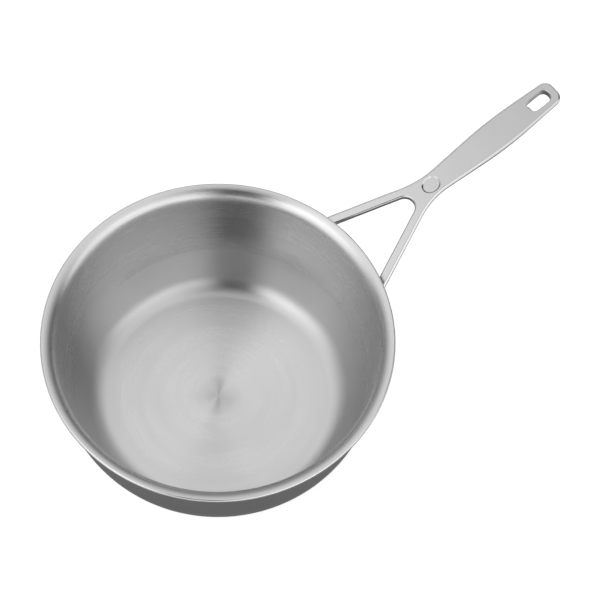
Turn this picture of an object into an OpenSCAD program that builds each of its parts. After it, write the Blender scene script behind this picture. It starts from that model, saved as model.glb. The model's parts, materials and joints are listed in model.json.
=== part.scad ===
// Saucier pan of bonded five-layer sheet, with a cast fork handle welded to its wall.
// The origin is the centre of the base's underside, +Z is up and the handle points along +X.

/* [Bowl] */
// Outside diameter over the lip
rim_d = 250; // [242:1:258]
// Height from the underside of the base to the top of the lip
bowl_h = 97.5; // [92:0.5:103]
// How far the rim reaches out beyond the edge of the flat base
wall_out = 45; // [42:0.5:48]
// Outside radius of the corner between the base and the wall
corner_r = 20; // [16:1:24]
// Lean of the lower wall, in degrees from upright
lower_lean = 27.5; // [25:0.5:30]
// Outside radius of the bend between the lower and the upper wall
belly_r = 66; // [50:1:75]
// Lean of the upper wall, in degrees from upright
upper_lean = 5.5; // [4:0.5:8]

/* [Pouring lip] */
// Outside radius of the flare under the lip
lip_r = 7; // [5:0.5:8]
// Slope of the lip's end, in degrees from level
lip_slope = 8; // [4:1:14]
// Straight run at the end of the lip
lip_run = 1.8; // [1.6:0.1:2.6]
// Rounding of the cut edge
edge_r = 1.2; // [0.8:0.1:1.4]

/* [Bonded sheet] */
// Thickness of the stainless steel layer that the food touches
cooking_ply_t = 0.5; // [0.3:0.05:0.7]
// Thickness of the aluminium alloy layer under the cooking surface
upper_bond_ply_t = 0.3; // [0.2:0.05:0.5]
// Thickness of the pure aluminium core
core_ply_t = 1.4; // [1:0.1:1.8]
// Thickness of the aluminium alloy layer inside the outer skin
lower_bond_ply_t = 0.3; // [0.2:0.05:0.5]
// Thickness of the magnetic stainless steel outer skin
outer_ply_t = 0.5; // [0.3:0.05:0.7]

/* [Handle side view] */
// Slope of the fork's top face, in degrees
fork_slope = 20; // [17:0.5:23]
// Slope of the grip's top face, in degrees
grip_slope = 9.2; // [7:0.2:12]
// Radius of the bend between the two slopes, along the top face
bend_r = 190; // [150:5:220]
// Distance from the rim to the corner of the two slopes
bend_out = 57.3; // [54:0.5:62]
// Height of that corner above the rim
bend_up = 10.5; // [8:0.5:13]

/* [Handle plan view] */
// Reach of the handle beyond the rim
handle_reach = 182.4; // [176:0.4:196]
// Distance from the rim to the centre of the fork's round crotch
crotch_out = 42.5; // [39:0.5:45]
// Radius of the crotch between the prongs
crotch_r = 8.1; // [7:0.1:9]
// Angle between the two prongs
fork_angle = 46; // [42:1:50]
// Width of each prong
prong_w = 7; // [6:0.5:8]
// Distance from the rim to the neck
neck_out = 72; // [70:0.5:76]
// Width between the grip's side lines at the neck
neck_w = 17.6; // [16:0.2:19]
// Radius of the hollow on each side of the neck
neck_r = 60; // [48:1:70]
// Distance from the rim to the widest part of the grip
grip_mid_out = 129; // [122:1:136]
// Width between the grip's side lines at its widest part, before they are rounded into each other
grip_w = 26.2; // [24:0.2:28]
// Radius of the grip's swelling sides
grip_side_r = 330; // [260:10:360]
// Width between the grip's side lines at its tip
tip_w = 19.6; // [18:0.2:21]
// Radius of the tip's corners
tip_r = 7; // [5.5:0.5:8]

/* [Handle section] */
// Depth of the prongs
prong_t = 6.5; // [5.5:0.5:8]
// Depth of the neck
neck_t = 5.2; // [4.6:0.2:6.5]
// Depth of the grip at its widest part
grip_t = 8.8; // [7:0.2:10]
// Depth of the tip
tip_t = 5.4; // [4.8:0.2:7]
// Rounding of the edges along the top face
top_round = 1.2; // [0.8:0.1:1.5]
// Height of the upright side below the top face
side_land = 2.6; // [1.8:0.1:3]
// Width over which the grip's underside curves in from each edge
grip_round = 9; // [6:0.5:10]

/* [Hanging slot and thumb mark] */
// Distance from the slot's centre to the handle's tip
slot_in = 15.5; // [14.5:0.1:18]
// Length of the slot
slot_l = 18.4; // [16:0.2:20]
// Width of the slot
slot_w = 10.2; // [9:0.2:12]
// Corner radius of the slot
slot_r = 4.6; // [3.5:0.1:4.5]
// Chamfer around the slot's top edge
slot_chamfer = 0.5; // [0.3:0.1:0.8]
// Distance from the rim to the centre of the oval thumb mark
mark_out = 67.5; // [66:0.2:70]
// Length of the thumb mark
mark_l = 15; // [13:0.2:17]
// Width of the thumb mark
mark_w = 12.4; // [10:0.2:13]
// Depth of the thumb mark
mark_t = 1.4; // [0.8:0.1:1.8]
// Sloping border of the thumb mark
mark_border = 1; // [0.6:0.1:1.5]

/* [Welds] */
// Leg of the weld bead around each prong's end
weld_leg = 1.8; // [1.2:0.1:2.4]

/* [Hidden] */
$fn = 96;

// The sheet's layers, counted from the outer skin inwards
lower_bond_at = outer_ply_t;
core_at = lower_bond_at + lower_bond_ply_t;
upper_bond_at = core_at + core_ply_t;
cooking_at = upper_bond_at + upper_bond_ply_t;
sheet_t = cooking_at + cooking_ply_t;

// Steps in each bend of the wall
corner_steps = 12;
belly_steps = 8;
lip_steps = 10;
// Angle between the points of the rounded cut edge
edge_step = 15;

// The outer skin's end, from which the rounded edge reaches the rim's full radius and height
lip_end_r = rim_d / 2 - edge_r * (1 - cos(lip_slope) - sin(lip_slope));
lip_end_z = bowl_h - edge_r - (sheet_t - edge_r) * cos(lip_slope) + edge_r * sin(lip_slope);

// The two straight stretches of the wall take up what the bends leave of its width and height
base_flat_r = rim_d / 2 - wall_out;
lower_slope = 90 - lower_lean;
upper_slope = 90 - upper_lean;
rest_r = lip_end_r - base_flat_r - corner_r * sin(lower_slope)
    - belly_r * (sin(upper_slope) - sin(lower_slope))
    - lip_r * (sin(upper_slope) - sin(lip_slope)) - lip_run * cos(lip_slope);
rest_z = lip_end_z - corner_r * (1 - cos(lower_slope))
    - belly_r * (cos(lower_slope) - cos(upper_slope))
    - lip_r * (cos(lip_slope) - cos(upper_slope)) - lip_run * sin(lip_slope);
turn = sin(upper_slope - lower_slope);
lower_run = (rest_r * sin(upper_slope) - rest_z * cos(upper_slope)) / turn;
upper_run = (rest_z * cos(lower_slope) - rest_r * sin(lower_slope)) / turn;

// A place on the outer skin is [radius, height, slope]
function ahead(p, run) = [p[0] + run * cos(p[2]), p[1] + run * sin(p[2]), p[2]];
// The places along a bend that starts at p and turns to a slope; a negative radius turns outwards
function bend(p, radius, slope, steps) = [
    for (i = [1:steps]) let (a = p[2] + (slope - p[2]) * i / steps) [
        p[0] + radius * (sin(a) - sin(p[2])),
        p[1] - radius * (cos(a) - cos(p[2])),
        a
    ]
];
function last(list) = list[len(list) - 1];
function reversed(list) = [for (i = [len(list) - 1:-1:0]) list[i]];

base_edge = [base_flat_r, 0, 0];
corner = bend(base_edge, corner_r, lower_slope, corner_steps);
belly_start = ahead(last(corner), lower_run);
belly = bend(belly_start, belly_r, upper_slope, belly_steps);
flare_start = ahead(last(belly), upper_run);
flare = bend(flare_start, -lip_r, lip_slope, lip_steps);
lip_end = ahead(last(flare), lip_run);
outer_skin = concat([[0, 0, 0], base_edge], corner, [belly_start], belly, [flare_start], flare);

// The point at a depth into the sheet from a place on its outer skin
function inwards(p, depth) = [p[0] - depth * sin(p[2]), p[1] + depth * cos(p[2])];
// How far the rounded cut edge draws back at a depth into the sheet
function drawn_back(depth) =
    let (d = min(depth, sheet_t - depth))
    d >= edge_r ? 0 : edge_r - sqrt(edge_r * edge_r - pow(edge_r - d, 2));
function edge_point(depth) = inwards(ahead(lip_end, -drawn_back(depth)), depth);
round_depths = [for (a = [0:edge_step:90]) edge_r * (1 - cos(a))];
edge_depths = concat(round_depths, [for (d = reversed(round_depths)) sheet_t - d]);

// The bowl's layer between two depths into the sheet
module ply(depth, thickness) {
    top = depth + thickness;
    edge = [for (d = edge_depths) if (d > depth && d < top) edge_point(d)];
    rotate_extrude($fn = 180) polygon(concat(
        [for (p = outer_skin) inwards(p, depth)],
        [edge_point(depth)], edge, [edge_point(top)],
        [for (p = reversed(outer_skin)) inwards(p, top)]
    ));
}

// All the space inside the bowl's outer skin, up to the lip's end
module bowl_space() {
    rotate_extrude($fn = 360) polygon(concat(
        [for (p = outer_skin) [p[0], p[1]]],
        [edge_point(0), [0, edge_point(0)[1]]]
    ));
}

module cooking_surface_ply() {
    color("gainsboro") ply(cooking_at, cooking_ply_t);
}

module upper_bond_ply() {
    color("silver") ply(upper_bond_at, upper_bond_ply_t);
}

module core_ply() {
    color("lightgray") ply(core_at, core_ply_t);
}

module lower_bond_ply() {
    color("silver") ply(lower_bond_at, lower_bond_ply_t);
}

module outer_ply() {
    color("darkgray") ply(0, outer_ply_t);
}

// Places of the handle along X
rim_r = rim_d / 2;
bend_x = rim_r + bend_out;
crotch_x = rim_r + crotch_out;
neck_x = rim_r + neck_out;
grip_mid_x = rim_r + grip_mid_out;
tip_x = rim_r + handle_reach;
// The prongs start inside the bowl's wall, which then cuts them to its own curve
prong_tail = 22;
prong_start_x = rim_r - prong_tail;

// Side view of the top face: two straight slopes and a round bend between them
bend_z = bowl_h + bend_up;
bend_tangent = bend_r * tan((fork_slope - grip_slope) / 2);
bend_centre_x = bend_x - bend_tangent * cos(fork_slope) + bend_r * sin(fork_slope);
bend_centre_z = bend_z - bend_tangent * sin(fork_slope) - bend_r * cos(fork_slope);
function top_z(x) =
    x < bend_centre_x - bend_r * sin(fork_slope) ? bend_z + (x - bend_x) * tan(fork_slope)
    : x > bend_centre_x - bend_r * sin(grip_slope) ? bend_z + (x - bend_x) * tan(grip_slope)
    : bend_centre_z + sqrt(bend_r * bend_r - pow(x - bend_centre_x, 2));

// A smooth step from 0 at a to 1 at b
function ease(x, a, b) = (1 - cos(180 * min(1, max(0, (x - a) / (b - a))))) / 2;
function depth_at(x) = prong_t
    + (neck_t - prong_t) * ease(x, crotch_x, neck_x)
    + (grip_t - neck_t) * ease(x, neck_x, grip_mid_x)
    + (tip_t - grip_t) * ease(x, grip_mid_x, tip_x);
// How far beyond the neck the underside has its full curve
round_run = 10;
function round_at(x) = prong_w / 2 + (grip_round - prong_w / 2) * ease(x, crotch_x, neck_x + round_run);

function unit(v) = v / norm(v);
// The points of the arc that rounds corner b of the outline a, b, c
function rounded(a, b, c, radius, steps) =
    let (u = unit(a - b), v = unit(c - b))
    let (half = acos(u * v) / 2)
    let (centre = b + unit(u + v) * radius / sin(half))
    let (from = b + u * radius / tan(half) - centre, to = b + v * radius / tan(half) - centre)
    let (start = atan2(from[1], from[0]), sweep = atan2(cross(from, to), from * to))
    [for (i = [0:steps]) centre + radius * [cos(start + sweep * i / steps), sin(start + sweep * i / steps)]];

// Plan view of the half with positive Y
half_fork = fork_angle / 2;
prong_out = [sin(half_fork), cos(half_fork)];
prong_along = [cos(half_fork), -sin(half_fork)];
crotch = [crotch_x, 0];
// A point on the prong's outer side line at a given X
outer_base = crotch + prong_out * (crotch_r + prong_w);
function outer_line(x) = outer_base + prong_along * (x - outer_base[0]) / prong_along[0];
// The outline's corner between the prong's outer side and the grip's side line
side_rise = (grip_w - neck_w) / 2 / (grip_mid_x - neck_x);
neck_corner_x = (outer_base[1] + outer_base[0] * tan(half_fork) - neck_w / 2 + neck_x * side_rise)
    / (side_rise + tan(half_fork));
neck_corner = outer_line(neck_corner_x);
grip_corner = [grip_mid_x, grip_w / 2];
tip_corner = [tip_x, tip_w / 2];
tip_middle = [tip_x, 0];

// Steps along the handle
prong_steps = 8;
crotch_steps = 6;
neck_steps = 12;
grip_steps = 8;
tip_steps = 8;

neck_arc = rounded(outer_line(prong_start_x), neck_corner, grip_corner, neck_r, neck_steps);
grip_arc = rounded(neck_corner, grip_corner, tip_corner, grip_side_r, grip_steps);
tip_arc = rounded(grip_corner, tip_corner, tip_middle, tip_r, tip_steps);
prong_end = neck_arc[0];
prong_start = outer_line(prong_start_x);
prong_side = [for (i = [0:prong_steps - 1]) prong_start + (prong_end - prong_start) * i / prong_steps];
function middle(a, b) = (a + b) / 2;
outline = concat(
    prong_side, neck_arc, [middle(last(neck_arc), grip_arc[0])], grip_arc,
    [middle(last(grip_arc), tip_arc[0])], tip_arc, [tip_middle]
);
stations = len(outline);
fork_stations = prong_steps + crotch_steps;
tip_stations = stations - tip_steps - 2;

// The point opposite each outline point: on the prong's inner side, the crotch or the middle line
crotch_end_x = crotch_x + crotch_r;
neck_end_x = last(neck_arc)[0];
tip_spine = 2.5;
function inner_point(i) =
    i < prong_steps ? outline[i] - prong_out * prong_w
    : i <= fork_stations ? (
        let (a = (90 - half_fork) * (1 - (i - prong_steps) / crotch_steps))
        crotch + crotch_r * [cos(a), sin(a)])
    : i <= prong_steps + neck_steps ? [
        crotch_end_x + (neck_end_x - crotch_end_x)
            * (i - fork_stations) / (neck_steps - crotch_steps), 0]
    : i <= tip_stations ? [outline[i][0], 0]
    : [outline[tip_stations][0] + tip_spine * (i - tip_stations) / (stations - 1 - tip_stations), 0];
inline = [for (i = [0:stations - 1]) inner_point(i)];

// Outward directions in plan, from the neighbours of each point
function side_normal(i) =
    i <= prong_steps ? prong_out
    : i >= stations - 2 ? [1, 0]
    : let (t = unit(outline[i + 1] - outline[i]) + unit(outline[i] - outline[i - 1]))
        unit([-t[1], t[0]]);
function gap_normal(i) =
    i <= prong_steps ? -prong_out
    : i <= fork_stations ? -unit(inline[i] - crotch)
    : [0, 0];

// Half of the handle's section at a station: across the top face, down the rounded side,
// along the curved underside, and up the inner side where there is one
round_angles = [30, 60, 90];
under_shares = [0.05, 0.14, 0.28, 0.5, 0.72, 0.86, 0.95, 1];
function placed(p, drop) = [p[0], p[1], top_z(p[0]) - drop];
function under_point(i, share) =
    let (o = outline[i], m = inline[i], p = o + (m - o) * share, across = norm(m - o))
    let (beyond = i <= fork_stations ? 0 : m[0] - crotch_end_x)
    let (from_edge = min(across * share, across * (1 - share) + beyond))
    let (curve = round_at(p[0]), near = 1 - min(1, from_edge / curve))
    placed(p, side_land + (depth_at(p[0]) - side_land) * sqrt(1 - near * near));
function edge_round(p, n, a) = placed(p - n * top_round * (1 - sin(a)), top_round * (1 - cos(a)));
function section(i) =
    let (o = outline[i], m = inline[i], on = side_normal(i), mn = gap_normal(i))
    concat(
        [edge_round(m, mn, 0), edge_round(o, on, 0)],
        [for (a = round_angles) edge_round(o, on, a)],
        [placed(o, side_land)],
        [for (share = under_shares) under_point(i, share)],
        [for (a = reversed(round_angles)) edge_round(m, mn, a)]
    );
open_rows = 6 + len(under_shares);
rows = open_rows + len(round_angles);

half_points = [for (i = [0:stations - 1]) each section(i)];
function quad(a, b, c, d) = [[a, b, c], [a, c, d]];
half_faces = concat(
    [for (k = [1:rows - 2]) [0, k + 1, k]],
    [for (i = [0:stations - 2]) let (wanted = i < fork_stations ? rows : open_rows - 1)
        for (k = [0:wanted - 1]) let (a = i * rows + k, b = i * rows + (k + 1) % rows)
            each k == 0 ? quad(b, b + rows, a + rows, a) : quad(a, b, b + rows, a + rows)]
);

// The casting before the bowl, the slot and the thumb mark are cut out of it
module casting() {
    count = len(half_points);
    polyhedron(
        points = concat(half_points, [for (p = half_points) [p[0], -p[1], p[2]]]),
        faces = concat(half_faces, [for (f = half_faces) [f[0] + count, f[2] + count, f[1] + count]])
    );
}

// Puts a flat shape on the handle's top face at x, square to the face there
module on_top_face(x) {
    slope = atan2(top_z(x + 1) - top_z(x - 1), 2);
    translate([x, 0, top_z(x)]) rotate([0, -slope, 0]) children();
}

// Thickness of the flat shapes between which a sloping cut is stretched
slice_t = 0.01;

module rounded_slot(grow) {
    straight_x = slot_l / 2 - slot_r;
    straight_y = slot_w / 2 - slot_r;
    hull() for (x = [-straight_x, straight_x], y = [-straight_y, straight_y])
        translate([x, y]) circle(slot_r + grow, $fn = 32);
}

// The slot's walls are upright and its chamfer follows the top face
module hanging_slot() {
    slot_x = tip_x - slot_in;
    translate([slot_x, 0, top_z(slot_x) - 2 * grip_t]) linear_extrude(3 * grip_t) rounded_slot(0);
    on_top_face(slot_x) hull() {
        translate([0, 0, -2 * slot_chamfer]) linear_extrude(slice_t) rounded_slot(-slot_chamfer);
        translate([0, 0, slot_chamfer]) linear_extrude(slice_t) rounded_slot(2 * slot_chamfer);
    }
}

function oval(length, width) = [for (a = [0:10:350]) [length / 2 * cos(a), width / 2 * sin(a)]];

module thumb_mark() {
    floor_l = mark_l - 2 * mark_border;
    floor_w = mark_w - 2 * mark_border;
    on_top_face(rim_r + mark_out) hull() {
        translate([0, 0, -mark_t]) linear_extrude(slice_t) polygon(oval(floor_l, floor_w));
        translate([0, 0, mark_t]) linear_extrude(slice_t)
            polygon(oval(mark_l + 2 * mark_border, mark_w + 2 * mark_border));
    }
}

module handle() {
    color("silver") difference() {
        casting();
        bowl_space();
        hanging_slot();
        thumb_mark();
    }
}

// The seam of the left prong on the wall: its section slid along the prong until it meets the cone
// of the upper wall
prong_way = [prong_along[0], prong_along[1], prong_along[0] * tan(fork_slope)];
wall_lean = 1 / tan(upper_slope);
function seam_point(s) =
    let (r = flare_start[0] + (s[2] - flare_start[1]) * wall_lean, dr = prong_way[2] * wall_lean)
    let (a = pow(prong_way[0], 2) + pow(prong_way[1], 2) - dr * dr)
    let (b = s[0] * prong_way[0] + s[1] * prong_way[1] - r * dr)
    let (c = s[0] * s[0] + s[1] * s[1] - r * r)
    s + prong_way * (sqrt(b * b - a * c) - b) / a;
prong_section = section(0);
seam = [for (s = prong_section) seam_point(s)];
// Across the seam, along the wall and away from the prong
function wall_normal(p) = let (r = unit([p[0], p[1]]), s = sin(upper_slope))
    [r[0] * s, r[1] * s, -cos(upper_slope)];
function seam_across(k) =
    let (before = prong_section[(k + rows - 1) % rows], after = prong_section[(k + 1) % rows])
    let (out = cross(after - before, [-prong_along[0], -prong_along[1], 0]), n = wall_normal(seam[k]))
    unit(out - n * (out * n));

// A fillet weld round the left prong: its section is a three-cornered bead with a slightly full face,
// which reaches a little into the wall and the prong before they are cut away from it
bead_root = 0.5;
bead_face = 0.56;
bead_section = [
    [-bead_root, -bead_root], [weld_leg, -bead_root], [weld_leg, 0],
    [weld_leg * bead_face, weld_leg * bead_face], [0, weld_leg], [-bead_root, weld_leg]
];
// The straight end of the left prong, long enough to pass through the bead
module prong_stub() {
    far = [for (s = prong_section) s + prong_way * prong_tail];
    polyhedron(
        points = concat(prong_section, far),
        faces = concat(
            [for (k = [1:rows - 2]) each [[0, k + 1, k], [rows, rows + k, rows + k + 1]]],
            [for (k = [0:rows - 1]) let (next = (k + 1) % rows) each quad(k, next, rows + next, rows + k)]
        )
    );
}

module weld_bead() {
    turns = len(bead_section);
    difference() {
        polyhedron(
            points = [for (k = [0:rows - 1], b = bead_section)
                seam[k] + prong_way * b[0] + seam_across(k) * b[1]],
            faces = [for (k = [0:rows - 1], j = [0:turns - 1])
                let (k2 = (k + 1) % rows, j2 = (j + 1) % turns)
                each quad(k * turns + j, k * turns + j2, k2 * turns + j2, k2 * turns + j)]
        );
        prong_stub();
        bowl_space();
    }
}

module weld_bead_left() {
    color("darkgray") weld_bead();
}

module weld_bead_right() {
    color("darkgray") mirror([0, 1, 0]) weld_bead();
}

cooking_surface_ply();
upper_bond_ply();
core_ply();
lower_bond_ply();
outer_ply();
handle();
weld_bead_left();
weld_bead_right();
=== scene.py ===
"""A saucier pan: a spun bowl of five bonded layers, a cast fork handle and the welds that hold it."""

import json
import math

import bmesh
import bpy
from mathutils import Matrix, Vector
from mathutils.kdtree import KDTree


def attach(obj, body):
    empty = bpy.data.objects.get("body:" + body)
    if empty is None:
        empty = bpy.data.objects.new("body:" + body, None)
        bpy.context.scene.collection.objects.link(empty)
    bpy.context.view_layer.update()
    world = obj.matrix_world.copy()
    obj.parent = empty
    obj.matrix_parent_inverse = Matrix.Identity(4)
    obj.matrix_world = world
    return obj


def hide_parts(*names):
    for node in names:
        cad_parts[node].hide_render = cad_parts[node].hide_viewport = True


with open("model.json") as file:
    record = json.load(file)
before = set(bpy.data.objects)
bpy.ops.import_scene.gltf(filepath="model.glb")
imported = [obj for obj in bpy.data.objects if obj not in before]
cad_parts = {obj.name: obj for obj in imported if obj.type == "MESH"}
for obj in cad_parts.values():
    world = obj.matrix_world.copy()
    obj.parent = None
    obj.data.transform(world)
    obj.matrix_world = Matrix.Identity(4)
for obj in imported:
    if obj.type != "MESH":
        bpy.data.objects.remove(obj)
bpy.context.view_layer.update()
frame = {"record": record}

MM = 0.001


def sin(degrees):
    return math.sin(math.radians(degrees))


def cos(degrees):
    return math.cos(math.radians(degrees))


def tan(degrees):
    return math.tan(math.radians(degrees))


# The bowl's sizes, as in the part's source; its slopes are counted from level
RIM_D, BOWL_H, WALL_OUT = 250 * MM, 97.5 * MM, 45 * MM
CORNER_R, BELLY_R = 20 * MM, 66 * MM
LOWER_SLOPE, UPPER_SLOPE = 62.5, 84.5
LIP_R, LIP_SLOPE, LIP_RUN, EDGE_R = 7 * MM, 8, 1.8 * MM, 1.2 * MM
# The layers from the outside in: the piece, the node that it stands for and its thickness
PLIES = (
    ("outer_skin", "outer_ply", 0.5 * MM),
    ("lower_bond", "lower_bond_ply", 0.3 * MM),
    ("core", "core_ply", 1.4 * MM),
    ("upper_bond", "upper_bond_ply", 0.3 * MM),
    ("cooking_surface", "cooking_surface_ply", 0.5 * MM),
)
SHEET = sum(thickness for name, cad_node, thickness in PLIES)
CORNER_STEPS, BELLY_STEPS, LIP_STEPS, ROUND_STEP = 20, 12, 16, 10
BOWL_TURNS, MARK_TURNS = 192, 72
# Points nearer than this are one; edges that turn by more than these angles stay sharp
SAME_POINT, SMOOTH, CUTTER_SMOOTH = 0.002 * MM, 40, 30


# Modelling by hand
def only(*objects):
    """Leaves nothing selected but these objects, the last of them active."""
    if bpy.context.mode != "OBJECT":
        bpy.ops.object.mode_set(mode="OBJECT")
    bpy.ops.object.select_all(action="DESELECT")
    for o in objects:
        o.select_set(True)
        bpy.context.view_layer.objects.active = o


def start_line(name, point):
    """A new piece that is a single point, ready to be drawn on from."""
    only()
    bpy.ops.mesh.primitive_plane_add(size=MM, location=point)
    piece = bpy.context.object
    piece.name = piece.data.name = name
    bpy.ops.object.transform_apply(location=True)
    bpy.ops.object.mode_set(mode="EDIT")
    bpy.ops.mesh.select_mode(type="VERT")
    bpy.ops.mesh.select_all(action="SELECT")
    bpy.ops.mesh.merge(type="CENTER")
    return piece


def draw_on(points):
    """Extrudes the selected point along a line of points; the first is where it is now."""
    for here, there in zip(points, points[1:]):
        step = Vector(there) - Vector(here)
        bpy.ops.mesh.extrude_vertices_move(TRANSFORM_OT_translate={"value": step})


def loft(name, sections, rings, around=False):
    """Draws the sections and bridges each to the next; the first `rings` of them are closed."""
    piece = start_line(name, sections[0][0])
    for i, points in enumerate(sections):
        if i:
            bpy.ops.mesh.primitive_plane_add(size=MM, location=points[0])
            bpy.ops.mesh.merge(type="CENTER")
        draw_on(points + points[:1] if i < rings else points)
    bpy.ops.mesh.select_all(action="SELECT")
    bpy.ops.mesh.remove_doubles(threshold=SAME_POINT)
    bpy.ops.mesh.select_mode(type="EDGE")
    drawn = bmesh.from_edit_mesh(piece.data)
    found = KDTree(len(drawn.verts))
    for i, vert in enumerate(drawn.verts):
        found.insert(vert.co, i)
    found.balance()
    lines = [[found.find(p)[1] for p in points] for points in sections]
    for i in range(0 if around else 1, len(lines)):
        closed = i < rings
        bpy.ops.mesh.select_all(action="DESELECT")
        select_line(piece, lines[i], closed)
        select_line(piece, lines[i - 1] if closed else lines[i - 1][: len(lines[i])], closed)
        bpy.ops.mesh.bridge_edge_loops()
    return piece, lines


def select_line(piece, line, closed):
    """Adds the edges of a drawn line, given as its vertices' indices, to what is selected."""
    mesh = bmesh.from_edit_mesh(piece.data)
    mesh.verts.ensure_lookup_table()
    for a, b in zip(line, line[1:] + (line[:1] if closed else [])):
        mesh.edges.get((mesh.verts[a], mesh.verts[b])).select_set(True)


def cap(piece, line):
    """Fills a closed line with one face."""
    bpy.ops.mesh.select_all(action="DESELECT")
    select_line(piece, line, True)
    bpy.ops.mesh.edge_face_add()


def cut(piece, cutter):
    """Takes the cutter's space out of a piece, and deletes the cutter."""
    only(piece)
    modifier = piece.modifiers.new("cut", "BOOLEAN")
    modifier.operation, modifier.solver, modifier.object = "DIFFERENCE", "EXACT", cutter
    bpy.ops.object.modifier_apply(modifier=modifier.name)
    only(cutter)
    bpy.ops.object.delete()


def spun(name, points, turns, centre=(0, 0, 0), axis=(0, 0, 1)):
    """A new piece: a drawn line of points, spun once round an axis."""
    piece = start_line(name, points[0])
    draw_on(points)
    bpy.ops.mesh.select_all(action="SELECT")
    bpy.ops.mesh.spin(steps=turns, angle=2 * math.pi, center=centre, axis=axis)
    return piece


def even_shading(piece):
    """Smooth shading in which the large flat faces stay flat beside their rounded edges."""
    closed_up(piece, SMOOTH)
    modifier = piece.modifiers.new("even shading", "WEIGHTED_NORMAL")
    modifier.keep_sharp, modifier.weight = True, 100
    bpy.ops.object.modifier_apply(modifier=modifier.name)


def closed_up(piece, smooth_angle):
    """Joins what meets, turns the faces outwards and shades the curves smooth."""
    if bpy.context.mode != "EDIT_MESH":
        only(piece)
        bpy.ops.object.mode_set(mode="EDIT")
    bpy.ops.mesh.select_all(action="SELECT")
    bpy.ops.mesh.remove_doubles(threshold=SAME_POINT)
    bpy.ops.mesh.normals_make_consistent(inside=False)
    only(piece)
    bpy.ops.object.shade_smooth_by_angle(angle=math.radians(smooth_angle))
    return piece


# The bowl, whose places are [radius, height, slope]
def ahead(place, run):
    """The place straight on from a place, at its own slope."""
    r, z, slope = place
    return (r + run * cos(slope), z + run * sin(slope), slope)


def bend(place, radius, slope, steps):
    """The places along a bend to a slope; a negative radius turns outwards."""
    r, z, start = place
    turned = [start + (slope - start) * i / steps for i in range(1, steps + 1)]
    return [(r + radius * (sin(a) - sin(start)), z - radius * (cos(a) - cos(start)), a) for a in turned]


def outer_skin_line():
    """The places along the outer skin, from the base's edge to the lip, and the lip's end."""
    lip_end_r = RIM_D / 2 - EDGE_R * (1 - cos(LIP_SLOPE) - sin(LIP_SLOPE))
    lip_end_z = BOWL_H - EDGE_R - (SHEET - EDGE_R) * cos(LIP_SLOPE) + EDGE_R * sin(LIP_SLOPE)
    base_r = RIM_D / 2 - WALL_OUT
    lower, upper, lip = LOWER_SLOPE, UPPER_SLOPE, LIP_SLOPE
    rest_r = lip_end_r - base_r - CORNER_R * sin(lower) - BELLY_R * (sin(upper) - sin(lower))
    rest_r -= LIP_R * (sin(upper) - sin(lip)) + LIP_RUN * cos(lip)
    rest_z = lip_end_z - CORNER_R * (1 - cos(lower)) - BELLY_R * (cos(lower) - cos(upper))
    rest_z -= LIP_R * (cos(lip) - cos(upper)) + LIP_RUN * sin(lip)
    turn = sin(upper - lower)
    lower_run = (rest_r * sin(upper) - rest_z * cos(upper)) / turn
    upper_run = (rest_z * cos(lower) - rest_r * sin(lower)) / turn
    line = [(base_r, 0, 0)]
    line += bend(line[-1], CORNER_R, lower, CORNER_STEPS)
    line += [ahead(line[-1], lower_run)]
    line += bend(line[-1], BELLY_R, upper, BELLY_STEPS)
    line += [ahead(line[-1], upper_run)]
    line += bend(line[-1], -LIP_R, lip, LIP_STEPS)
    return line, ahead(line[-1], LIP_RUN)


SKIN_LINE, LIP_END = outer_skin_line()


def inwards(place, depth):
    """The point at a depth into the sheet, square to the outer skin."""
    r, z, slope = place
    return (r - depth * sin(slope), 0, z + depth * cos(slope))


def edge_point(depth):
    """A point of the rounded cut edge at a depth into the sheet."""
    d = min(depth, SHEET - depth)
    back = 0 if d >= EDGE_R else EDGE_R - math.sqrt(EDGE_R**2 - (EDGE_R - d) ** 2)
    return inwards(ahead(LIP_END, -back), depth)


def spun_ply(name, depth, thickness):
    """One layer of the sheet: its section, drawn out to the cut edge and back to the axis, then spun."""
    top = depth + thickness
    rounding = [EDGE_R * (1 - cos(a)) for a in range(0, 91, ROUND_STEP)]
    depths = rounding + [SHEET - d for d in reversed(rounding)]
    points = [(0, 0, depth)] + [inwards(p, depth) for p in SKIN_LINE] + [edge_point(depth)]
    points += [edge_point(d) for d in depths if depth < d < top] + [edge_point(top)]
    points += [inwards(p, top) for p in reversed(SKIN_LINE)] + [(0, 0, top)]
    return closed_up(spun(name, points, BOWL_TURNS), SMOOTH)


pieces = {}
depth = 0
for name, cad_node, thickness in PLIES:
    pieces[cad_node] = spun_ply(name, depth, thickness)
    depth += thickness


# The handle, in millimetres. The sizes are those of the part's source, but for the rounded edges, the
# upright side below them and the thumb mark's depth and border, which were set from the render.
RIM_R, BOWL_TOP = 125, 97.5
FORK_SLOPE, GRIP_SLOPE, BEND_R, BEND_OUT, BEND_UP = 20, 9.2, 190, 57.3, 10.5
HANDLE_REACH, CROTCH_OUT, CROTCH_R, FORK_ANGLE, PRONG_W = 182.4, 42.5, 8.1, 46, 7
NECK_OUT, NECK_W, NECK_R = 72, 17.6, 60
GRIP_MID_OUT, GRIP_W, GRIP_SIDE_R, TIP_W, TIP_R = 129, 26.2, 330, 19.6, 7
PRONG_T, NECK_T, GRIP_T, TIP_T = 6.5, 5.2, 8.8, 5.4
TOP_ROUND, GAP_ROUND, SIDE_LAND, GRIP_ROUND, ROUND_RUN = 1.6, 0.8, 3, 9, 10
SLOT_IN, SLOT_L, SLOT_W, SLOT_R, SLOT_CHAMFER = 15.5, 18.4, 10.2, 4.6, 0.5
MARK_OUT, MARK_L, MARK_W, MARK_T, MARK_BORDER = 67.5, 15, 12.4, 1.3, 1.35
PRONG_TAIL, TIP_SPINE = 22, 2.5
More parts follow.
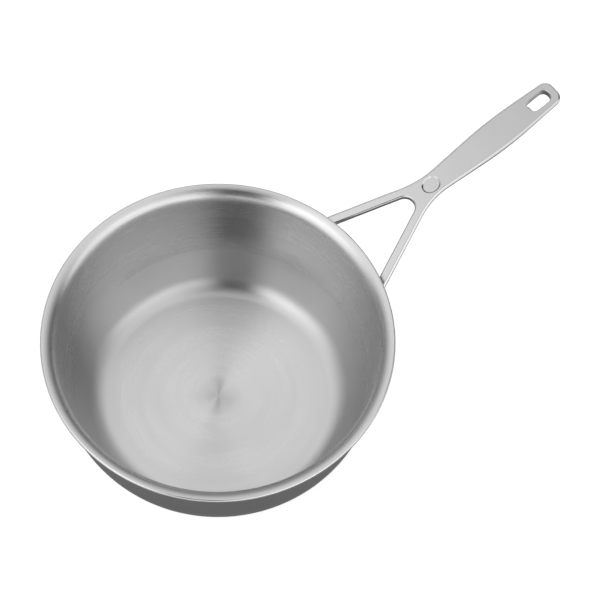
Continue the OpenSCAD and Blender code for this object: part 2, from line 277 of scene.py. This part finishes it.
# The mark's rounded inner and outer edges, how far its cutter stands above the face, and how far the
# prongs reach into the bowl's outer skin
MARK_INNER_R, MARK_OUTER_R, MARK_CLEAR, HANDLE_SINK = 0.3, 0.35, 0.5, 0.05
MARK_STEPS, SLOT_ANGLES = 4, (10, 30, 50, 70, 90)

BEND_X, CROTCH_X, NECK_X = RIM_R + BEND_OUT, RIM_R + CROTCH_OUT, RIM_R + NECK_OUT
GRIP_MID_X, TIP_X = RIM_R + GRIP_MID_OUT, RIM_R + HANDLE_REACH
PRONG_START_X = RIM_R - PRONG_TAIL
BEND_Z = BOWL_TOP + BEND_UP


def top_z(x):
    """Side view of the top face: two straight slopes and a round bend between them."""
    tangent = BEND_R * tan((FORK_SLOPE - GRIP_SLOPE) / 2)
    centre_x = BEND_X - tangent * cos(FORK_SLOPE) + BEND_R * sin(FORK_SLOPE)
    centre_z = BEND_Z - tangent * sin(FORK_SLOPE) - BEND_R * cos(FORK_SLOPE)
    if x < centre_x - BEND_R * sin(FORK_SLOPE):
        return BEND_Z + (x - BEND_X) * tan(FORK_SLOPE)
    if x > centre_x - BEND_R * sin(GRIP_SLOPE):
        return BEND_Z + (x - BEND_X) * tan(GRIP_SLOPE)
    return centre_z + math.sqrt(BEND_R**2 - (x - centre_x) ** 2)


def ease(x, a, b):
    """Goes smoothly from 0 to 1 while x goes from a to b."""
    return (1 - cos(180 * min(1, max(0, (x - a) / (b - a))))) / 2


def depth_at(x):
    """The handle's depth below its top face."""
    depth = PRONG_T + (NECK_T - PRONG_T) * ease(x, CROTCH_X, NECK_X)
    depth += (GRIP_T - NECK_T) * ease(x, NECK_X, GRIP_MID_X)
    return depth + (TIP_T - GRIP_T) * ease(x, GRIP_MID_X, TIP_X)


def round_at(x):
    """The width over which the underside curves in from an edge."""
    return PRONG_W / 2 + (GRIP_ROUND - PRONG_W / 2) * ease(x, CROTCH_X, NECK_X + ROUND_RUN)


def rounded(a, b, c, radius, steps):
    """The points of the arc that rounds corner b of the outline a, b, c."""
    u, v = (a - b).normalized(), (c - b).normalized()
    half = u.angle(v) / 2
    centre = b + (u + v).normalized() * (radius / math.sin(half))
    start, end = (b + side * (radius / math.tan(half)) - centre for side in (u, v))
    first, sweep = math.atan2(start.y, start.x), math.atan2(start.cross(end), start.dot(end))
    turned = [first + sweep * i / steps for i in range(steps + 1)]
    return [centre + radius * Vector((math.cos(a), math.sin(a))) for a in turned]


HALF_FORK = FORK_ANGLE / 2
PRONG_SIDE = Vector((sin(HALF_FORK), cos(HALF_FORK)))
PRONG_ALONG = Vector((cos(HALF_FORK), -sin(HALF_FORK)))
CROTCH = Vector((CROTCH_X, 0))
CROTCH_END_X = CROTCH_X + CROTCH_R
PRONG_STEPS, CROTCH_STEPS, NECK_STEPS, GRIP_STEPS, TIP_STEPS = 10, 8, 16, 12, 10


def plan_view():
    """The half outline with positive Y, and the point opposite each of its points: on the prong's
    inner side, the crotch or the middle line."""
    base = CROTCH + PRONG_SIDE * (CROTCH_R + PRONG_W)

    def outer_line(x):
        return base + PRONG_ALONG * ((x - base.x) / PRONG_ALONG.x)

    rise = (GRIP_W - NECK_W) / 2 / (GRIP_MID_X - NECK_X)
    corner_x = (base.y + base.x * tan(HALF_FORK) - NECK_W / 2 + NECK_X * rise) / (rise + tan(HALF_FORK))
    neck, grip = outer_line(corner_x), Vector((GRIP_MID_X, GRIP_W / 2))
    tip, tip_middle = Vector((TIP_X, TIP_W / 2)), Vector((TIP_X, 0))
    start = outer_line(PRONG_START_X)
    neck_arc = rounded(start, neck, grip, NECK_R, NECK_STEPS)
    grip_arc = rounded(neck, grip, tip, GRIP_SIDE_R, GRIP_STEPS)
    tip_arc = rounded(grip, tip, tip_middle, TIP_R, TIP_STEPS)
    outline = [start.lerp(neck_arc[0], i / PRONG_STEPS) for i in range(PRONG_STEPS)] + neck_arc
    outline += [(neck_arc[-1] + grip_arc[0]) / 2] + grip_arc + [(grip_arc[-1] + tip_arc[0]) / 2]
    outline += tip_arc + [tip_middle]
    fork_end, neck_end = PRONG_STEPS + CROTCH_STEPS, PRONG_STEPS + NECK_STEPS
    tip_start, last = len(outline) - TIP_STEPS - 2, len(outline) - 1
    crotch_end, neck_middle = Vector((CROTCH_END_X, 0)), Vector((neck_arc[-1].x, 0))
    inline = []
    for i, o in enumerate(outline):
        if i < PRONG_STEPS:
            m = o - PRONG_SIDE * PRONG_W
        elif i <= fork_end:
            a = (90 - HALF_FORK) * (1 - (i - PRONG_STEPS) / CROTCH_STEPS)
            m = CROTCH + Vector((cos(a), sin(a))) * CROTCH_R
        elif i <= neck_end:
            m = crotch_end.lerp(neck_middle, (i - fork_end) / (neck_end - fork_end))
        elif i <= tip_start:
            m = Vector((o.x, 0))
        else:
            m = Vector((outline[tip_start].x + TIP_SPINE * (i - tip_start) / (last - tip_start), 0))
        inline.append(m)
    return outline, inline, fork_end


OUTLINE, INLINE, FORK_END = plan_view()


def side_normal(i):
    """The way out of the outline at a point."""
    if i <= PRONG_STEPS:
        return PRONG_SIDE
    if i >= len(OUTLINE) - 2:
        return Vector((1, 0))
    t = (OUTLINE[i + 1] - OUTLINE[i]).normalized() + (OUTLINE[i] - OUTLINE[i - 1]).normalized()
    return Vector((-t.y, t.x)).normalized()


def gap_normal(i):
    """The way into the fork's gap at the point opposite; none where there is no gap."""
    if i <= PRONG_STEPS:
        return -PRONG_SIDE
    return (CROTCH - INLINE[i]).normalized() if i <= FORK_END else Vector((0, 0))


ROUND_ANGLES = (18, 36, 54, 72, 90)
# Where the underside has its points, as shares of the way across, closer together near the edges
UNDER_SHARES = (0.02, 0.05, 0.1, 0.17, 0.26, 0.38, 0.5, 0.62, 0.74, 0.83, 0.9, 0.95, 0.98, 1)
HOLD = 0.3  # a row of faces that keeps the flat top flat beside its rounding
ROUND_FLATNESS = 1.6  # 1 is a round edge and 2 a straight chamfer


def handle_section(i):
    """Half of the handle's section: across the top face, down the rounded side, along the curved
    underside and up the inner side."""
    o, m, side, gap = OUTLINE[i], INLINE[i], side_normal(i), gap_normal(i)

    def placed(p, drop):
        return Vector((p.x, p.y, top_z(p.x) - drop)) * MM

    def rounding(p, normal, size, a, extra=0):
        away, down = (1 - abs(share) ** ROUND_FLATNESS for share in (sin(a), cos(a)))
        return placed(p - normal * (size * away + extra), size * down)

    inner = m - gap * GAP_ROUND
    points = [placed(inner, 0), placed(inner - gap * HOLD if i < FORK_END else inner.lerp(o, 0.1), 0)]
    points += [rounding(o, side, TOP_ROUND, 0, HOLD), rounding(o, side, TOP_ROUND, 0)]
    points += [rounding(o, side, TOP_ROUND, a) for a in ROUND_ANGLES] + [placed(o, SIDE_LAND)]
    across = (m - o).length
    beyond = 0 if i <= FORK_END else m.x - CROTCH_END_X
    for share in UNDER_SHARES:
        p = o.lerp(m, share)
        near = 1 - min(1, min(across * share, across * (1 - share) + beyond) / round_at(p.x))
        points.append(placed(p, SIDE_LAND + (depth_at(p.x) - SIDE_LAND) * math.sqrt(1 - near**2)))
    return points + [rounding(m, gap, GAP_ROUND, a) for a in reversed(ROUND_ANGLES)]


def placed_on_top(x):
    """The point of the top face over x on the middle line, and the ways along and out of the face."""
    slope = math.degrees(math.atan2(top_z(x + 1) - top_z(x - 1), 2))
    along, out = Vector((cos(slope), 0, sin(slope))), Vector((-sin(slope), 0, cos(slope)))
    return Vector((x, 0, top_z(x))) * MM, along, out


def casting():
    """The whole casting before its cuts: one half lofted along the outline, and mirrored."""
    sections = [handle_section(i) for i in range(len(OUTLINE))]
    fork, grip = sections[: FORK_END + 1], sections[FORK_END + 1 :]
    piece, lines = loft("fork_handle", fork + [s[: -len(ROUND_ANGLES)] for s in grip], len(fork))
    cap(piece, lines[0])
    only(piece)
    mirror = piece.modifiers.new("other half", "MIRROR")
    mirror.use_axis, mirror.merge_threshold = (False, True, False), SAME_POINT
    bpy.ops.object.modifier_apply(modifier=mirror.name)
    return closed_up(piece, SMOOTH)


def slot_outline(grow):
    """The slot's outline in plan, with its edge moved outwards."""
    corners = ((1, 1, 0), (-1, 1, 90), (-1, -1, 180), (1, -1, 270))
    flat_x, flat_y, r = SLOT_L / 2 - SLOT_R, SLOT_W / 2 - SLOT_R, SLOT_R + grow
    return [
        (TIP_X - SLOT_IN + side_x * flat_x + r * cos(start + a), side_y * flat_y + r * sin(start + a))
        for side_x, side_y, start in corners
        for a in range(0, 91, ROUND_STEP)
    ]


def slot_cutter():
    """The upright slot, with its edge rounded where it comes out of the top face."""
    rim = [(SLOT_CHAMFER * (1 - sin(a)), SLOT_CHAMFER * (1 - cos(a))) for a in SLOT_ANGLES]
    depth = depth_at(TIP_X - SLOT_IN)
    levels = [(SLOT_CHAMFER, -SLOT_CHAMFER)] + rim + [(0, depth + SLOT_CHAMFER)]
    rings = [
        [Vector((x, y, top_z(x) - drop)) * MM for x, y in slot_outline(grow)]
        for grow, drop in levels
    ]
    piece, lines = loft("slot_cutter", rings, len(rings))
    cap(piece, lines[0])
    cap(piece, lines[-1])
    return closed_up(piece, CUTTER_SMOOTH)


def mark_cutter():
    """The oval thumb mark: a flat floor, a sloping border and both of its edges rounded."""
    top_r, floor_r = MARK_L / 2, MARK_L / 2 - MARK_BORDER
    slope = math.degrees(math.atan2(MARK_T, MARK_BORDER))
    lift, inner_r, outer_r = MARK_CLEAR, MARK_INNER_R, MARK_OUTER_R
    inner = floor_r - inner_r * tan(slope / 2)
    outer = top_r + outer_r * tan(slope / 2)
    turns = [slope * i / MARK_STEPS for i in range(MARK_STEPS + 1)]
    profile = [(0, -MARK_T)] + [(inner + inner_r * sin(a), inner_r * (1 - cos(a)) - MARK_T) for a in turns]
    profile += [(outer - outer_r * sin(a), -outer_r * (1 - cos(a))) for a in reversed(turns)]
    profile += [(outer, lift), (0, lift)]
    centre, along, out = placed_on_top(RIM_R + MARK_OUT)
    points = [centre + (along * r + out * h) * MM for r, h in profile]
    piece = spun("mark_cutter", points, MARK_TURNS, centre, out)
    bpy.ops.mesh.select_all(action="SELECT")
    bpy.ops.transform.resize(value=(1, MARK_W / MARK_L, 1), center_override=centre)
    return closed_up(piece, CUTTER_SMOOTH)


def bowl_cutter():
    """The space inside the bowl, to just inside its outer skin."""
    inside = [inwards(p, HANDLE_SINK * MM) for p in SKIN_LINE]
    points = [(0, 0, inside[0][2])] + inside + [(inside[-1][0], 0, BOWL_H), (0, 0, BOWL_H)]
    return closed_up(spun("bowl_cutter", points, BOWL_TURNS), CUTTER_SMOOTH)


handle = casting()
for cutter in (bowl_cutter(), slot_cutter(), mark_cutter()):
    cut(handle, cutter)
even_shading(handle)
pieces["handle"] = handle

# The welds, a bead round each prong's end where it meets the cone of the upper wall; a fullness of 1 is a
# straight face and 2 a quarter of a circle
WELD_LEG, WELD_ROOT, WELD_STEPS, WELD_FULLNESS = 1.8, 0.5, 8, 1.2
PRONG_WAY = Vector((PRONG_ALONG.x, PRONG_ALONG.y, PRONG_ALONG.x * tan(FORK_SLOPE)))
WALL_R, WALL_Z, WALL_SLOPE = SKIN_LINE[-1 - LIP_STEPS]


def seam_point(start):
    """Where the line along the prong through a point of its first section meets the wall."""
    lean = 1 / tan(WALL_SLOPE)
    r, dr = WALL_R + (start.z - WALL_Z) * lean, PRONG_WAY.z * lean
    a = PRONG_WAY.x**2 + PRONG_WAY.y**2 - dr**2
    b = start.x * PRONG_WAY.x + start.y * PRONG_WAY.y - r * dr
    c = start.x**2 + start.y**2 - r**2
    return start + PRONG_WAY * ((math.sqrt(b * b - a * c) - b) / a)


def bead_profile():
    """A fillet with a slightly full face, as [along the prong, away from it], with its root in both."""
    turns = [90 * i / WELD_STEPS for i in range(WELD_STEPS + 1)]
    power = 2 / WELD_FULLNESS
    face = [(WELD_LEG * cos(a) ** power, WELD_LEG * sin(a) ** power) for a in turns[:-1]]
    start, end = [(-WELD_ROOT, -WELD_ROOT), (WELD_LEG, -WELD_ROOT)], [(0, WELD_LEG), (-WELD_ROOT, WELD_LEG)]
    return start + face + end


def weld_bead(name, side):
    """One bead, swept round the seam; side 1 is the prong with positive Y and -1 the other."""
    section = handle_section(0)
    seam = [seam_point(s) for s in section]
    rings = []
    for k, point in enumerate(seam):
        round_wall = Vector((point.x, point.y, 0)).normalized()
        wall = round_wall * sin(WALL_SLOPE) - Vector((0, 0, cos(WALL_SLOPE)))
        chord = section[(k + 1) % len(section)] - section[k - 1]
        out = chord.cross(Vector((-PRONG_ALONG.x, -PRONG_ALONG.y, 0)))
        out = (out - wall * out.dot(wall)).normalized()
        ring = [point + (PRONG_WAY * along + out * away) * MM for along, away in bead_profile()]
        rings.append([Vector((p.x, p.y * side, p.z)) for p in ring])
    piece, lines = loft(name, rings, len(rings), around=True)
    return closed_up(piece, SMOOTH)


pieces["weld_bead_left"] = weld_bead("weld_left", 1)
pieces["weld_bead_right"] = weld_bead("weld_right", -1)


# Finishes
def new_finish(name):
    """A new material, its node tree and its metal shader."""
    finish = bpy.data.materials.new(name)
    finish.use_nodes = True
    return finish, finish.node_tree, finish.node_tree.nodes["Principled BSDF"]


def node(tree, kind, **settings):
    """A new shader node; a setting that starts with in_ sets the input of that name or number."""
    made = tree.nodes.new("ShaderNode" + kind)
    for key, value in settings.items():
        if key.startswith("in_"):
            slot = key[3:]
            made.inputs[int(slot) if slot.isdigit() else slot.replace("_", " ")].default_value = value
        else:
            setattr(made, key, value)
    return made


def math_node(tree, operation, a, b=None):
    """The result of a sum of numbers or sockets."""
    made = node(tree, "Math", operation=operation)
    for slot, value in enumerate((a, b)):
        if value is None:
            continue
        if isinstance(value, (int, float)):
            made.inputs[slot].default_value = value
        else:
            tree.links.new(value, made.inputs[slot])
    return made.outputs[0]


def arithmetic(tree):
    """Short names for adding and multiplying in a node tree."""
    return (
        lambda a, b: math_node(tree, "ADD", a, b),
        lambda a, b: math_node(tree, "MULTIPLY", a, b),
    )


def ramp(tree, value, start, end, first, last, way="LINEAR"):
    """Goes from the first level to the last while the value goes from start to end, and holds beyond."""
    made = node(
        tree, "MapRange", interpolation_type=way,
        in_From_Min=start, in_From_Max=end, in_To_Min=first, in_To_Max=last,
    )
    tree.links.new(value, made.inputs["Value"])
    return made.outputs[0]


def varied(tree, share, colour, change):
    """A colour that a noise makes a little darker and lighter."""
    mix = node(tree, "MixRGB", blend_type="MIX")
    mix.inputs[1].default_value = (*[c * (1 - change) for c in colour], 1)
    mix.inputs[2].default_value = (*[min(1, c * (1 + change)) for c in colour], 1)
    tree.links.new(share, mix.inputs[0])
    return mix.outputs[0]


def with_painted_light(tree, colour, painted_light):
    """A colour made lighter or darker by painted light or shade."""
    scaled = node(tree, "VectorMath", operation="SCALE")
    tree.links.new(colour, scaled.inputs[0])
    tree.links.new(painted_light, scaled.inputs["Scale"])
    return scaled.outputs[0]


# The part of a noise's range that most of it keeps to
NOISE_RANGE = (0.3, 0.7)
# The lathe's grain: lines a metre along the section, cells round the axis, and detail
FINE_GRAIN, BROAD_GRAIN = (650, 1.2, 1.0), (140, 0.8, 1.0)
CLOUD_SCALE, CLOUD_SHARE, GRAIN_HAZE, GRAIN_TINT, GRAIN_DEPTH = 22.0, 0.4, 0.03, 0.02, 0.02 * MM
# The least radius that a place is divided by, so that the axis itself has a direction
AXIS_R = 0.5 * MM
# Radii between which the hazier spin mark at the middle ends, and how hazy it is
EYE, EYE_HAZE = (3 * MM, 18 * MM), 0.16
# Where the corner's haze comes and goes, as radius and height added up
CORNER_COMES, CORNER_GOES = (76 * MM, 92 * MM), (108 * MM, 140 * MM)
# Heights over which painted shade darkens the wall going up, and over which a painted highlight lightens
# the lip
WALL_SHADE_HEIGHTS, LIP_HIGHLIGHT_HEIGHTS = (10 * MM, 85 * MM), (88 * MM, 93 * MM)


def spun_steel(name, colour, roughness, grain, anisotropy, wall_painted_shade=1.0, lip_painted_highlight=1.0, corner_haze=0.0):
    """Stainless steel brushed on the lathe: the grain runs round the axis, finer along the section. Painted
    shade darkens its colour up the wall, and a painted highlight lightens it again on the lip."""
    finish, tree, bsdf = new_finish(name)
    link = tree.links.new
    plus, times = arithmetic(tree)
    place = node(tree, "TexCoord").outputs["Object"]
    xyz = node(tree, "SeparateXYZ")
    link(place, xyz.inputs[0])
    x, y, z = xyz.outputs
    radius = math_node(tree, "SQRT", plus(times(x, x), times(y, y)))
    along = plus(radius, z)
    safe = math_node(tree, "MAXIMUM", radius, AXIS_R)
    turn_x = math_node(tree, "DIVIDE", x, safe)
    turn_y = math_node(tree, "DIVIDE", y, safe)

    def grain_at(fine, coarse, detail):
        lathe = node(tree, "CombineXYZ")
        for slot, value in enumerate((times(along, fine), times(turn_x, coarse), times(turn_y, coarse))):
            link(value, lathe.inputs[slot])
        noise = node(tree, "TexNoise", in_Scale=1.0, in_Detail=detail, in_Roughness=0.6)
        link(lathe.outputs[0], noise.inputs["Vector"])
        return noise.outputs["Fac"]

    lines = grain_at(*FINE_GRAIN)
    bands = grain_at(*BROAD_GRAIN)
    cloud = node(tree, "TexNoise", in_Scale=CLOUD_SCALE, in_Detail=2.0)
    link(place, cloud.inputs["Vector"])

    around = node(tree, "VectorMath", operation="CROSS_PRODUCT")
    around.inputs[0].default_value = (0, 0, 1)
    link(place, around.inputs[1])
    link(around.outputs[0], bsdf.inputs["Tangent"])

    uneven = plus(times(bands, 1 - CLOUD_SHARE), times(cloud.outputs["Fac"], CLOUD_SHARE))
    haze = ramp(tree, uneven, *NOISE_RANGE, roughness - GRAIN_HAZE, roughness + GRAIN_HAZE)
    haze = plus(haze, ramp(tree, radius, *EYE, EYE_HAZE, 0.0))
    comes = ramp(tree, along, *CORNER_COMES, 0.0, 1.0)
    goes = ramp(tree, along, *CORNER_GOES, corner_haze, 0.0)
    link(plus(haze, times(comes, goes)), bsdf.inputs["Roughness"])

    # Painted shade: the colour darkens up the wall, and a painted highlight lightens it again on the lip
    wall = ramp(tree, z, *WALL_SHADE_HEIGHTS, 1.0, wall_painted_shade)
    lip = ramp(tree, z, *LIP_HIGHLIGHT_HEIGHTS, 1.0, lip_painted_highlight / wall_painted_shade)
    tint = varied(tree, lines, colour, GRAIN_TINT)
    link(with_painted_light(tree, tint, times(wall, lip)), bsdf.inputs["Base Color"])

    bump = node(tree, "Bump", in_Strength=grain, in_Distance=GRAIN_DEPTH)
    link(lines, bump.inputs["Height"])
    link(bump.outputs[0], bsdf.inputs["Normal"])

    bsdf.inputs["Metallic"].default_value = 1
    bsdf.inputs["Anisotropic"].default_value = anisotropy
    bsdf.inputs["Anisotropic Rotation"].default_value = 0.25
    return finish


# The casting's fine and soft unevenness, and where along the handle painted shade darkens its colour
CAST_FINE, CAST_SOFT, CAST_HAZE, CAST_TINT, CAST_BUMP = 900.0, 45.0, 0.03, 0.03, 0.15
TIP_SHADE_RUN = (150 * MM, 280 * MM)


def cast_steel(name, colour, roughness, tip_painted_shade=1.0):
    """Cast or rolled metal with no direction to its sheen; on the handle, painted shade darkens its colour
    towards the tip.
    """
    finish, tree, bsdf = new_finish(name)
    link = tree.links.new
    place = node(tree, "TexCoord").outputs["Object"]
    fine = node(tree, "TexNoise", in_Scale=CAST_FINE, in_Detail=3.0)
    link(place, fine.inputs["Vector"])
    soft = node(tree, "TexNoise", in_Scale=CAST_SOFT, in_Detail=2.0)
    link(place, soft.inputs["Vector"])
    haze = ramp(tree, soft.outputs["Fac"], *NOISE_RANGE, roughness - CAST_HAZE, roughness + CAST_HAZE)
    link(haze, bsdf.inputs["Roughness"])
    xyz = node(tree, "SeparateXYZ")
    link(place, xyz.inputs[0])
    tint = varied(tree, fine.outputs["Fac"], colour, CAST_TINT)
    # Painted shade: the colour darkens along the handle towards the tip
    painted_light = ramp(tree, xyz.outputs["X"], *TIP_SHADE_RUN, 1.0, tip_painted_shade)
    link(with_painted_light(tree, tint, painted_light), bsdf.inputs["Base Color"])
    bump = node(tree, "Bump", in_Strength=CAST_BUMP, in_Distance=GRAIN_DEPTH)
    link(fine.outputs["Fac"], bump.inputs["Height"])
    link(bump.outputs[0], bsdf.inputs["Normal"])
    bsdf.inputs["Metallic"].default_value = 1
    return finish


def grey(level):
    """A grey colour."""
    return (level, level, level)


FINISHES = {
    # The cooking steel's colour carries painted shade up its wall and a painted highlight on its lip
    "brushed_cooking_steel": spun_steel(
        "brushed cooking steel", grey(0.67), roughness=0.28, grain=0.025, anisotropy=0.94,
        wall_painted_shade=0.77, lip_painted_highlight=1.03, corner_haze=0.05,
    ),
    # The outer steel's grey is partly its own darker satin and partly painted shade of the outside wall
    "satin_outer_steel": spun_steel(
        "satin outer steel", grey(0.52), roughness=0.3, grain=0.06, anisotropy=0.6,
    ),
    "bond_alloy": cast_steel("bond alloy", grey(0.78), roughness=0.35),
    "aluminium_core": cast_steel("aluminium core", grey(0.82), roughness=0.35),
    # The handle's colour is painted darker towards its tip, as shade
    "cast_handle_steel": cast_steel("cast handle steel", grey(0.625), roughness=0.2, tip_painted_shade=0.8),
    "weld_steel": cast_steel("weld steel", grey(0.52), roughness=0.35),
}


# Each piece rides on the only body, stands for its node and has the finish that the record gives the node
for subpart in frame["record"]["subparts"]:
    cad_node, slot = subpart["node"], subpart["material_slot"]
    piece = pieces[cad_node]
    piece.data.materials.clear()
    piece.data.materials.append(FINISHES[slot])
    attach(piece, "root")
    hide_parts(cad_node)

# The camera, as the photograph was taken
HANDLE_TURN = 40.27  # azimuth of the handle in the picture, counted from the picture's right
ELEVATION, ROLL = 62.72, 2.49
DISTANCE, ASIDE, UPWARDS = 2.10815, 0.05764, 0.02661
LENS, SENSOR = 180, 36
picture_to_part = Matrix.Rotation(math.radians(-HANDLE_TURN), 3, "Z")
back = Vector((0, -cos(ELEVATION), sin(ELEVATION)))
right = Vector((1, 0, 0))
up = back.cross(right)
right, up = right * cos(ROLL) + up * sin(ROLL), up * cos(ROLL) - right * sin(ROLL)
eye = picture_to_part @ (right * ASIDE + up * UPWARDS + back * DISTANCE) + Vector((0, 0, BOWL_H))
look = Matrix([picture_to_part @ v for v in (right, up, back)]).transposed()
bpy.ops.object.camera_add(location=eye, rotation=look.to_euler())
camera = bpy.context.object
camera.data.lens, camera.data.sensor_width = LENS, SENSOR
camera.data.clip_start, camera.data.clip_end = 0.05, 50
bpy.context.scene.camera = camera


# The floor and the light
FLOOR_SIZE, FLOOR_Z, FLOOR_TONE, FLOOR_GLOW = 12, -0.2 * MM, 0.82, 0.6
# The dim card of painted shade: its radius, the radius where it starts to fade into the floor, and its
# level inside that
CARD_R, CARD_FADE, SHADE_CARD_LEVEL, CARD_Z = 0.5, 0.22, 0.19, -0.1 * MM


def stage_material(piece, name):
    """Gives a piece of the stage a material of its own; returns its node tree and its surface's input."""
    material = bpy.data.materials.new(name)
    material.use_nodes = True
    material.node_tree.nodes.clear()
    piece.data.materials.append(material)
    return material.node_tree, node(material.node_tree, "OutputMaterial").inputs[0]


def stage_floor():
    """Pale paper that keeps the pan's shadow; its glow is seen only by the camera, metal and glass."""
    only()
    bpy.ops.mesh.primitive_plane_add(size=FLOOR_SIZE, location=(0, 0, FLOOR_Z))
    floor = bpy.context.object
    floor.name = "studio_floor"
    tree, surface = stage_material(floor, "pale paper")
    path = node(tree, "LightPath")
    seen = math_node(tree, "MAXIMUM", path.outputs["Is Camera Ray"], path.outputs["Is Glossy Ray"])
    seen = math_node(tree, "MAXIMUM", seen, path.outputs["Is Transmission Ray"])
    diffuse = node(tree, "BsdfDiffuse", in_Color=(*grey(FLOOR_TONE), 1))
    glow = node(tree, "Emission")
    tree.links.new(math_node(tree, "MULTIPLY", seen, FLOOR_GLOW), glow.inputs["Strength"])
    both = node(tree, "AddShader")
    tree.links.new(diffuse.outputs[0], both.inputs[0])
    tree.links.new(glow.outputs[0], both.inputs[1])
    tree.links.new(both.outputs[0], surface)


def stage_painted_shade_card():
    """A round dim card under the pan, which only the metal sees: painted shade round the pan's foot, for
    the metal to reflect.
    """
    only()
    bpy.ops.mesh.primitive_circle_add(
        vertices=96, radius=CARD_R, fill_type="NGON", location=(0, 0, CARD_Z)
    )
    card = bpy.context.object
    card.name = "painted_shade_card"
    tree, surface = stage_material(card, "painted shade card")
    place = node(tree, "TexCoord").outputs["Object"]
    reach = node(tree, "VectorMath", operation="LENGTH")
    tree.links.new(place, reach.inputs[0])
    # Painted shade: dimmest round the pan's foot, fading to the floor's level further out
    level = ramp(tree, reach.outputs["Value"], CARD_FADE, CARD_R, SHADE_CARD_LEVEL, 1.0, "SMOOTHSTEP")
    glow = node(tree, "Emission")
    tree.links.new(level, glow.inputs["Strength"])
    tree.links.new(glow.outputs[0], surface)
    card.visible_camera = card.visible_diffuse = False
    card.visible_shadow = card.visible_transmission = False


stage_floor()
stage_painted_shade_card()

# The roof: the sines of the elevations where it starts and is full, and its level
TENT_ROOF = (0.28, 0.93, 0.87)
# The back wall's glow: its azimuth, elevation and level, and the cosines where it starts and is full
TENT_BACK, BACK_FADE = (230, 30, 0.25), (0.3, 1.0)
# The panels: azimuth, elevation, level and the angles from the middle where each starts and ends to fade
TENT_PANELS = ((53, 0, 1.3, 35, 54), (-35, 16, 1.3, 0, 66))
# The gap for the camera and the hood over it: where each starts and ends to fade, at its sides as a share
# of a level way, at its foot as the sine of the elevation, and where both end short of the top
GAP_AZIMUTH, GAP_SIDES, GAP_FOOT, GAP_TOP = -9.5, (0.12, 0.45), (0.2, 0.5), (0.12, 0.24)
HOOD_SIDES, HOOD_FOOT = (0.12, 0.38), (0.7, 0.85)
# A little over 1, so that the share of a way that is level is nowhere 0
OVER_ONE = 1.0001


def towards(azimuth, elevation):
    """A way out from the bowl; azimuth 0 is the camera's side and grows towards the picture's right."""
    a = azimuth - HANDLE_TURN
    return (cos(elevation) * sin(a), -cos(elevation) * cos(a), sin(elevation))


def tent_light():
    """A white light tent: dim at the floor, brighter overhead, with a lit panel on each side of the
    camera and the dark gap between them where the camera looks in."""
    world = bpy.data.worlds.new("light tent")
    bpy.context.scene.world = world
    world.use_nodes = True
    tree = world.node_tree
    plus, times = arithmetic(tree)
    way = node(tree, "TexCoord").outputs["Generated"]

    def along(azimuth, elevation):
        share = node(tree, "VectorMath", operation="DOT_PRODUCT")
        tree.links.new(way, share.inputs[0])
        share.inputs[1].default_value = towards(azimuth, elevation)
        return share.outputs["Value"]

    def fade(value, start, end, level=1.0, first=0.0):
        return ramp(tree, value, start, end, first, level, "SMOOTHSTEP")

    def fade_out(value, start, end):
        return fade(value, start, end, 0.0, 1.0)

    height = along(0, 90)
    azimuth, elevation, level = TENT_BACK
    light = plus(fade(height, *TENT_ROOF), fade(along(azimuth, elevation), *BACK_FADE, level))
    for azimuth, elevation, level, inner, outer in TENT_PANELS:
        light = plus(light, fade(along(azimuth, elevation), cos(outer), cos(inner), level))

    level_share = math_node(tree, "SQRT", plus(OVER_ONE, times(times(height, height), -1.0)))
    beside = math_node(tree, "ABSOLUTE", along(GAP_AZIMUTH + 90, 0))
    beside_level = math_node(tree, "DIVIDE", beside, level_share)
    gap = times(fade_out(beside_level, *GAP_SIDES), fade(height, *GAP_FOOT))
    hood = times(fade_out(beside, *HOOD_SIDES), fade(height, *HOOD_FOOT))
    dark = times(math_node(tree, "MAXIMUM", gap, hood), fade(along(GAP_AZIMUTH, 0), *GAP_TOP))
    light = times(light, math_node(tree, "SUBTRACT", 1.0, dark))

    seen = node(tree, "LightPath").outputs["Is Camera Ray"]
    light = plus(times(light, math_node(tree, "SUBTRACT", 1.0, seen)), seen)
    background = tree.nodes["Background"]
    tree.links.new(light, background.inputs["Strength"])
    background.inputs["Color"].default_value = (1, 1, 1, 1)


tent_light()

bpy.context.scene.view_settings.view_transform = "Standard"
